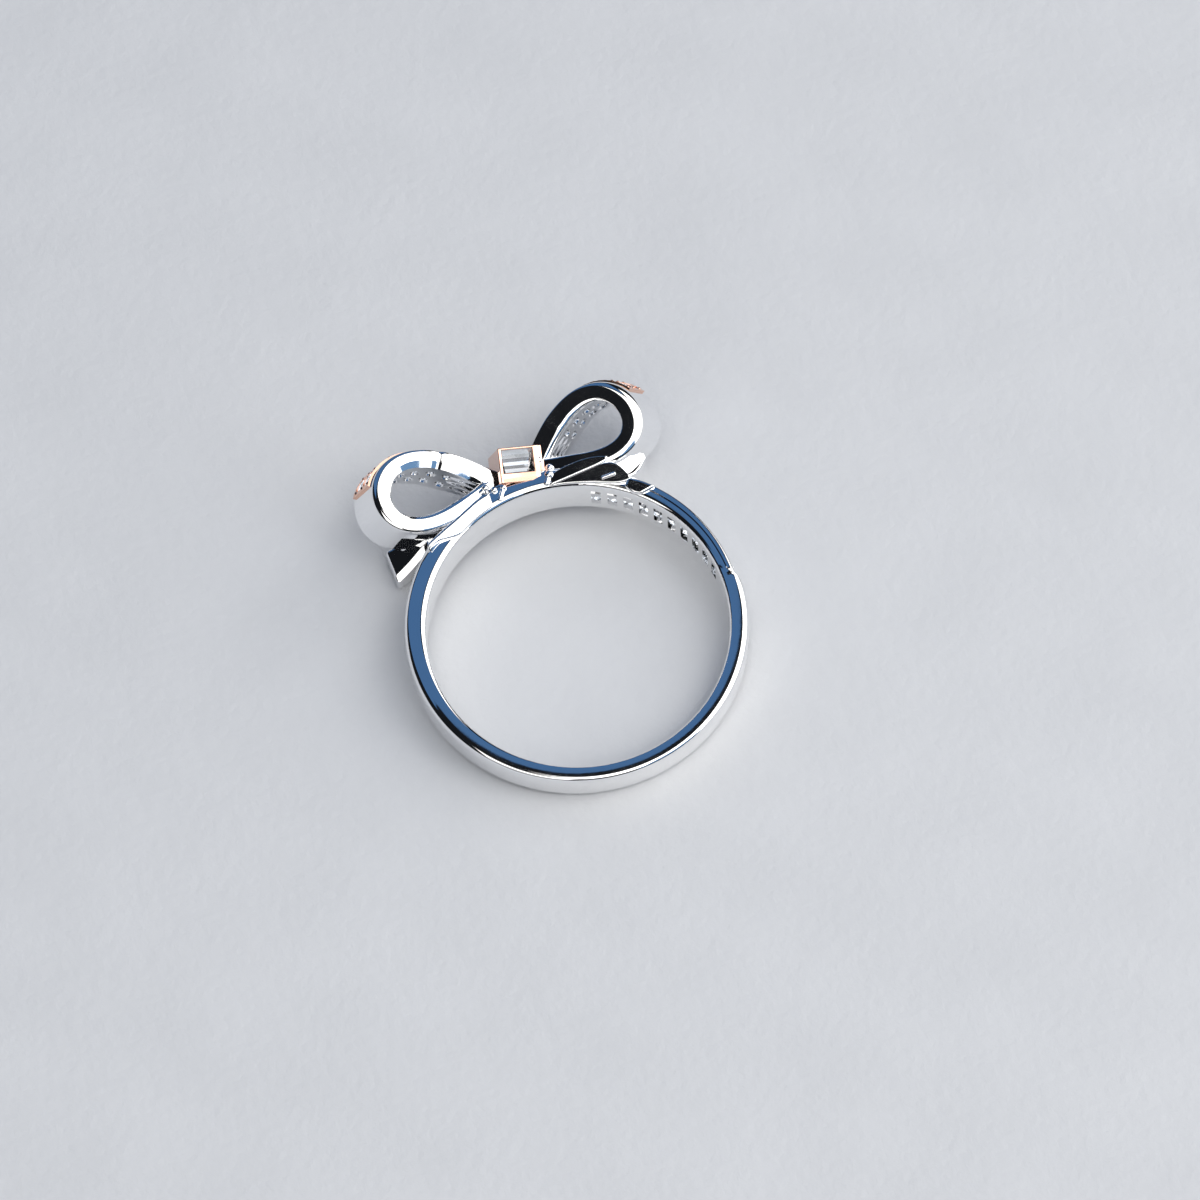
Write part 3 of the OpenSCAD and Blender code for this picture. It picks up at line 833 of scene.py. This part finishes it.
def root_station(u, low, high, lift=0.0):
    """A root's section at u, from low to high away from the finger."""
    middle = (low + high) / 2
    across = Vector((0, math.cos(root_lean), math.sin(root_lean))) * (high - low) / 2
    down = Vector((0, math.sin(root_lean), -math.cos(root_lean))) * root_t / 2
    return (*(Vector((u, middle, root_face(u, middle) + lift)) + down), *across, *down)


left_root = bar("tail_root_left", [root_station(*row) for row in (
    (2.0, 8.62, 9.52), (2.6, 8.42, 9.36), (3.3, 8.16, 9.06), (4.3, 7.66, 8.6), (5.0, 7.6, 8.3),
    (5.6, 7.62, 8.02), (6.2, 7.4, 7.72))], 0.13, silver, hand=-1)
settled(left_root, "ring_body")
right_root = bar("tail_root_right", [root_station(*row) for row in (
    (1.6, 8.62, 8.95), (2.3, 8.46, 9.0), (3.1, 8.2, 9.0), (4.1, 7.82, 8.9), (5.1, 7.36, 8.75),
    (5.6, 7.24, 8.4), (5.95, 7.24, 7.66))], 0.1, silver)
settled(right_root, "ring_body")
gathered_edge = bar("gathered_edge_right", [root_station(*row) for row in (
    (1.75, 8.62, 9.2, 0.06), (2.4, 8.63, 9.36, 0.07), (3.2, 8.65, 9.4, 0.08), (4.0, 8.67, 9.36, 0.08),
    (4.6, 8.7, 9.24, 0.08), (5.1, 8.76, 9.06, 0.08))], 0.14, silver, last_edge=0.15)
settled(gathered_edge, "ring_body")
root_end = bar("tail_root_end_right", [
    (u, v, root_face(u, v) - root_end_t / 2, du, dv, root_face(du, dv) - root_face(0, 0),
        0, 0, root_end_t / 2)
    for u, v, du, dv in ((5.8, 7.15, 0.2, 0.25), (6.2, 6.72, 0.38, 0.22), (6.58, 6.38, 0.5, 0.06))],
    0.16, silver)
settled(root_end, "ring_body")


# The small posts at the foot of the knot, and the rolled folds of the gathered ribbon that close
# the corners between loops and band. Silver wire ends, melted round and soldered in.


def post(name, p, q, r, knob):
    """A wire from p to q with a melted knob of its own radius at p."""
    shape = bmesh.new()
    p, q = Vector(p), Vector(q)
    axis = q - p
    place = Matrix.Translation(p) @ axis.to_track_quat("Z", "Y").to_matrix().to_4x4()
    shoulder = math.pi - math.asin(min(1, r / knob))
    head = [shoulder * k / 12 for k in range(13)]
    foot = [math.pi / 2 * k / 6 for k in range(7)]
    outline = ([(knob * math.sin(turn), -knob * math.cos(turn)) for turn in head]
        + [(r * math.cos(turn), axis.length + r * math.sin(turn)) for turn in foot[:-1]]
        + [(0, axis.length + r)])
    turn_up(shape, place, outline, 24)
    return mesh_piece(name, shape, silver)


for name, p, q, r, knob in (
        ("foot_post_left", (-1.0, 9.5, 1.66), (-1.42, 8.88, 1.6), 0.13, 0.19),
        ("foot_post_right", (1.74, 9.3, 1.66), (1.42, 8.86, 1.6), 0.17, 0.26),
        ("fold_on_root_right", (4.55, 7.95, 1.74), (5.2, 7.92, 1.8), 0.12, 0.12),
        ("fold_left_inner", (-1.53, 9.56, 1.62), (-1.57, 10.15, -1), 0.2, 0.2),
        ("fold_left_outer", (-1.97, 9.84, 1.66), (-2, 10.4, -1), 0.2, 0.2),
        ("fold_right_outer", (1.95, 9.8, 1.4), (1.95, 10.35, -1), 0.24, 0.24),
        ("fold_right_inner", (1.55, 10.5, 1.4), (1.55, 11.05, -1), 0.2, 0.2)):
    settled(post(name, p, q, r, knob), "ring_body")


# The knot. A box of rose gold that is open at its top and has a window at each end, wrapped over
# the bow's middle. Its X runs along the bow, its Y away from the finger and its Z along it.

knot_turn, knot_lean, knot_yaw = math.radians(14), math.radians(18), math.radians(9)
knot_shift, knot_rise = 0.2, 11.1
knot_len, knot_h, knot_depth = 2.35, 2.05, 3.8
knot_wall_left, knot_wall_right, knot_rail, knot_top, knot_end = 0.18, 0.34, 0.55, 0.12, 0.3
knot_along, knot_edge = 0.22, 0.045
in_knot = (Matrix.Translation((knot_shift, knot_rise, 0)) @ Matrix.Rotation(-knot_turn, 4, "Z")
    @ Matrix.Rotation(knot_lean, 4, "X") @ Matrix.Rotation(knot_yaw, 4, "Y"))

xs = (-knot_len / 2, -knot_len / 2 + knot_wall_left, knot_len / 2 - knot_wall_right, knot_len / 2)
ys = (-knot_h / 2, -knot_h / 2 + knot_rail, knot_h / 2 - knot_top, knot_h / 2)
zs = [knot_along + z for z in (-knot_depth / 2, knot_end - knot_depth / 2,
    knot_depth / 2 - knot_end, knot_depth / 2)]


def is_metal(i, j, k):
    """Whether the frame fills that cell of its three by three by three: its side walls, its
    floor and the two bars across its top."""
    is_cell = all(0 <= n <= 2 for n in (i, j, k))
    return is_cell and (i != 1 or j == 0 or j == 2 and k != 1)


shape = bmesh.new()
for cell in itertools.product(range(3), repeat=3):
    for axis, end in itertools.product(range(3), (0, 1)):
        beyond = list(cell)
        beyond[axis] += 2 * end - 1
        if is_metal(*cell) and not is_metal(*beyond):
            corners = [list(cell) for _ in range(4)]
            for corner, (p, q) in zip(corners, ((0, 0), (1, 0), (1, 1), (0, 1))):
                corner[axis] += end
                corner[(axis + 1) % 3] += p
                corner[(axis + 2) % 3] += q
            shape.faces.new([shape.verts.new(in_knot @ Vector((xs[i], ys[j], zs[k])))
                for i, j, k in corners])
knot = mesh_piece("knot_box", shape, rose)
soft = knot.modifiers.new("soft_edges", "BEVEL")
soft.width, soft.segments = knot_edge, 4
soft.limit_method, soft.angle_limit = "ANGLE", math.radians(40)
settled(baked(knot), "knot_frame", slot="rose_gold")


# The knot's stone. A clear rectangular step cut, held between the frame's walls. Each of its steps
# is given as how far it lies in from the girdle and how high; the first is the table's edge. The
# near end's steps carry painted light: they glow by emission, bright and dark in turn.

stone_play, knot_free, stone_rise = 0.04, 0.16, 0.62
step_levels = ((0.22, 0.28), (0, 0), (0.08, -0.2), (0.18, -0.4), (0.3, -0.6), (0.44, -0.78),
    (0.62, -0.98))
step_x, step_z = 0.3, 0.45
step_painted_glow = (0.5, 0.32, 0.04, 0.95, 0.02, 0.7)
room = knot_len - knot_wall_left - knot_wall_right
long, deep = room - stone_play - knot_free, knot_depth - 2 * knot_end - 2 * stone_play
in_stone = in_knot @ Matrix.Translation(((knot_wall_left - knot_wall_right) / 2
    + (stone_play - knot_free) / 2, stone_rise, knot_along))
shape = bmesh.new()
fire = shape.faces.layers.float.new("fire")
rings = [[shape.verts.new(in_stone @ Vector((x * (long / 2 - step_x * inset), level,
    z * (deep / 2 - step_z * inset)))) for x, z in ((1, 1), (-1, 1), (-1, -1), (1, -1))]
    for inset, level in step_levels]
# Painted light: only the near end's steps glow, bright and dark in turn; the other sides don't glow.
for high, low, share in zip(rings, rings[1:], step_painted_glow):
    for k in range(4):
        facet = shape.faces.new((high[k], low[k], low[(k + 1) % 4], high[(k + 1) % 4]))
        facet[fire] = share if k == 0 else 0.0
shape.faces.new(rings[0])
shape.faces.new(rings[-1])
# Painted shade: this clear stone is greyed to half, so that its inside looks dark.
stone = mesh_piece("knot_step_stone", shape, stone_finish("step_cut_stone", 1.6, 0.02, 0.5))
settled(stone, "knot_stone", slot="clear_stone", sharp=2)

for pattern in (stone_shape, bead_shape):
    bpy.data.objects.remove(pattern)
